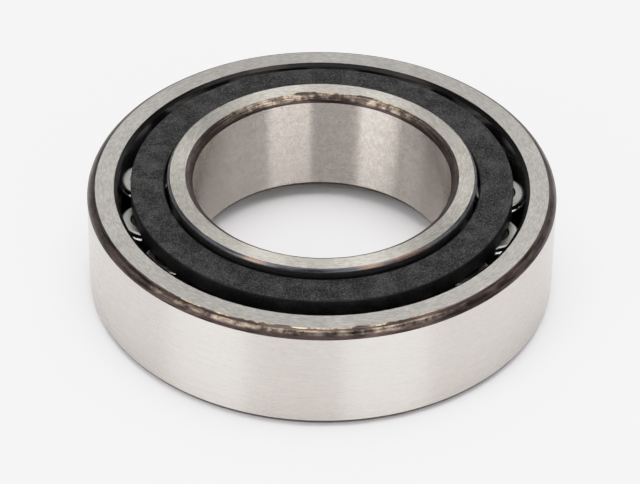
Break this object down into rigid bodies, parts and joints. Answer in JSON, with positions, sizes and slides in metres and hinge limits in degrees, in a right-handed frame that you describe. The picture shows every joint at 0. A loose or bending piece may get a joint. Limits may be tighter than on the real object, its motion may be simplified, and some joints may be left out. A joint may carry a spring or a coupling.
{
  "type": "toroidal roller bearing",
  "caption": "Toroidal roller bearing with cylindrical bore: two steel rings, crowned steel rollers and a black plastic window cage, inner ring shifted along its axis.",
  "frame": {"origin": "centre of the outer ring's lower side face, on the bearing's axis", "axes": "+Z along the bearing's axis, from the side face that it lies on towards the side on which the inner ring stands proud"},
  "size_m": [0.1, 0.1, 0.0277],
  "materials": {
    "ring_steel": "ground hardened steel, satin, with dark heat-treated corners",
    "roller_steel": "polished hardened steel with ground ends",
    "cage_polymer": "moulded glass-fibre-filled black polyamide, matte"
  },
  "bodies": {
    "outer_ring": {"outer_ring": "ring_steel"},
    "inner_ring": {"inner_ring": "ring_steel"},
    "cage": {"cage": "cage_polymer"},
    "roller_01": {"roller_01": "roller_steel"},
    "roller_02": {"roller_02": "roller_steel"},
    "roller_03": {"roller_03": "roller_steel"},
    "roller_04": {"roller_04": "roller_steel"},
    "roller_05": {"roller_05": "roller_steel"},
    "roller_06": {"roller_06": "roller_steel"},
    "roller_07": {"roller_07": "roller_steel"},
    "roller_08": {"roller_08": "roller_steel"},
    "roller_09": {"roller_09": "roller_steel"},
    "roller_10": {"roller_10": "roller_steel"},
    "roller_11": {"roller_11": "roller_steel"},
    "roller_12": {"roller_12": "roller_steel"},
    "roller_13": {"roller_13": "roller_steel"},
    "roller_14": {"roller_14": "roller_steel"},
    "roller_15": {"roller_15": "roller_steel"},
    "roller_16": {"roller_16": "roller_steel"},
    "roller_17": {"roller_17": "roller_steel"}
  },
  "joints": [
    {"name": "inner_ring_spin", "type": "hinge", "parent": "outer_ring", "child": "inner_ring", "pos_m": [0, 0, 0.01515], "axis": [0, 0, 1], "continuous": true},
    {"name": "cage_orbit", "type": "hinge", "parent": "outer_ring", "child": "cage", "pos_m": [0, 0, 0.01383], "axis": [0, 0, 1], "continuous": true},
    {"name": "roller_01_spin", "type": "hinge", "parent": "cage", "child": "roller_01", "pos_m": [0.03631, -0.01187, 0.01383], "axis": [-0.0158, 0.0051, 0.9999], "continuous": true},
    {"name": "roller_02_spin", "type": "hinge", "parent": "cage", "child": "roller_02", "pos_m": [0.03814, 0.00205, 0.01383], "axis": [-0.0165, -0.0009, 0.9999], "continuous": true},
    {"name": "roller_03_spin", "type": "hinge", "parent": "cage", "child": "roller_03", "pos_m": [0.03483, 0.01569, 0.01383], "axis": [-0.0151, -0.0068, 0.9999], "continuous": true},
    {"name": "roller_04_spin", "type": "hinge", "parent": "cage", "child": "roller_04", "pos_m": [0.02681, 0.02721, 0.01383], "axis": [-0.0116, -0.0118, 0.9999], "continuous": true},
    {"name": "roller_05_spin", "type": "hinge", "parent": "cage", "child": "roller_05", "pos_m": [0.01517, 0.03506, 0.01383], "axis": [-0.0066, -0.0152, 0.9999], "continuous": true},
    {"name": "roller_06_spin", "type": "hinge", "parent": "cage", "child": "roller_06", "pos_m": [0.00148, 0.03817, 0.01383], "axis": [-0.0006, -0.0166, 0.9999], "continuous": true},
    {"name": "roller_07_spin", "type": "hinge", "parent": "cage", "child": "roller_07", "pos_m": [-0.01241, 0.03613, 0.01383], "axis": [0.0054, -0.0157, 0.9999], "continuous": true},
    {"name": "roller_08_spin", "type": "hinge", "parent": "cage", "child": "roller_08", "pos_m": [-0.02462, 0.0292, 0.01383], "axis": [0.0107, -0.0127, 0.9999], "continuous": true},
    {"name": "roller_09_spin", "type": "hinge", "parent": "cage", "child": "roller_09", "pos_m": [-0.03351, 0.01834, 0.01383], "axis": [0.0145, -0.008, 0.9999], "continuous": true},
    {"name": "roller_10_spin", "type": "hinge", "parent": "cage", "child": "roller_10", "pos_m": [-0.03787, 0.00499, 0.01383], "axis": [0.0164, -0.0022, 0.9999], "continuous": true},
    {"name": "roller_11_spin", "type": "hinge", "parent": "cage", "child": "roller_11", "pos_m": [-0.03712, -0.00902, 0.01383], "axis": [0.0161, 0.0039, 0.9999], "continuous": true},
    {"name": "roller_12_spin", "type": "hinge", "parent": "cage", "child": "roller_12", "pos_m": [-0.03135, -0.02182, 0.01383], "axis": [0.0136, 0.0095, 0.9999], "continuous": true},
    {"name": "roller_13_spin", "type": "hinge", "parent": "cage", "child": "roller_13", "pos_m": [-0.02135, -0.03168, 0.01383], "axis": [0.0093, 0.0137, 0.9999], "continuous": true},
    {"name": "roller_14_spin", "type": "hinge", "parent": "cage", "child": "roller_14", "pos_m": [-0.00847, -0.03725, 0.01383], "axis": [0.0037, 0.0162, 0.9999], "continuous": true},
    {"name": "roller_15_spin", "type": "hinge", "parent": "cage", "child": "roller_15", "pos_m": [0.00556, -0.03779, 0.01383], "axis": [-0.0024, 0.0164, 0.9999], "continuous": true},
    {"name": "roller_16_spin", "type": "hinge", "parent": "cage", "child": "roller_16", "pos_m": [0.01884, -0.03323, 0.01383], "axis": [-0.0082, 0.0144, 0.9999], "continuous": true},
    {"name": "roller_17_spin", "type": "hinge", "parent": "cage", "child": "roller_17", "pos_m": [0.02957, -0.02418, 0.01383], "axis": [-0.0128, 0.0105, 0.9999], "continuous": true}
  ],
  "couplings": [
    {"joint": "cage_orbit", "follows": "inner_ring_spin", "ratio": 0.42147},
    {"joint": "roller_01_spin", "follows": "inner_ring_spin", "ratio": -3.1048},
    {"joint": "roller_02_spin", "follows": "inner_ring_spin", "ratio": -3.1048},
    {"joint": "roller_03_spin", "follows": "inner_ring_spin", "ratio": -3.1048},
    {"joint": "roller_04_spin", "follows": "inner_ring_spin", "ratio": -3.1048},
    {"joint": "roller_05_spin", "follows": "inner_ring_spin", "ratio": -3.1048},
    {"joint": "roller_06_spin", "follows": "inner_ring_spin", "ratio": -3.1048},
    {"joint": "roller_07_spin", "follows": "inner_ring_spin", "ratio": -3.1048},
    {"joint": "roller_08_spin", "follows": "inner_ring_spin", "ratio": -3.1048},
    {"joint": "roller_09_spin", "follows": "inner_ring_spin", "ratio": -3.1048},
    {"joint": "roller_10_spin", "follows": "inner_ring_spin", "ratio": -3.1048},
    {"joint": "roller_11_spin", "follows": "inner_ring_spin", "ratio": -3.1048},
    {"joint": "roller_12_spin", "follows": "inner_ring_spin", "ratio": -3.1048},
    {"joint": "roller_13_spin", "follows": "inner_ring_spin", "ratio": -3.1048},
    {"joint": "roller_14_spin", "follows": "inner_ring_spin", "ratio": -3.1048},
    {"joint": "roller_15_spin", "follows": "inner_ring_spin", "ratio": -3.1048},
    {"joint": "roller_16_spin", "follows": "inner_ring_spin", "ratio": -3.1048},
    {"joint": "roller_17_spin", "follows": "inner_ring_spin", "ratio": -3.1048}
  ]
}
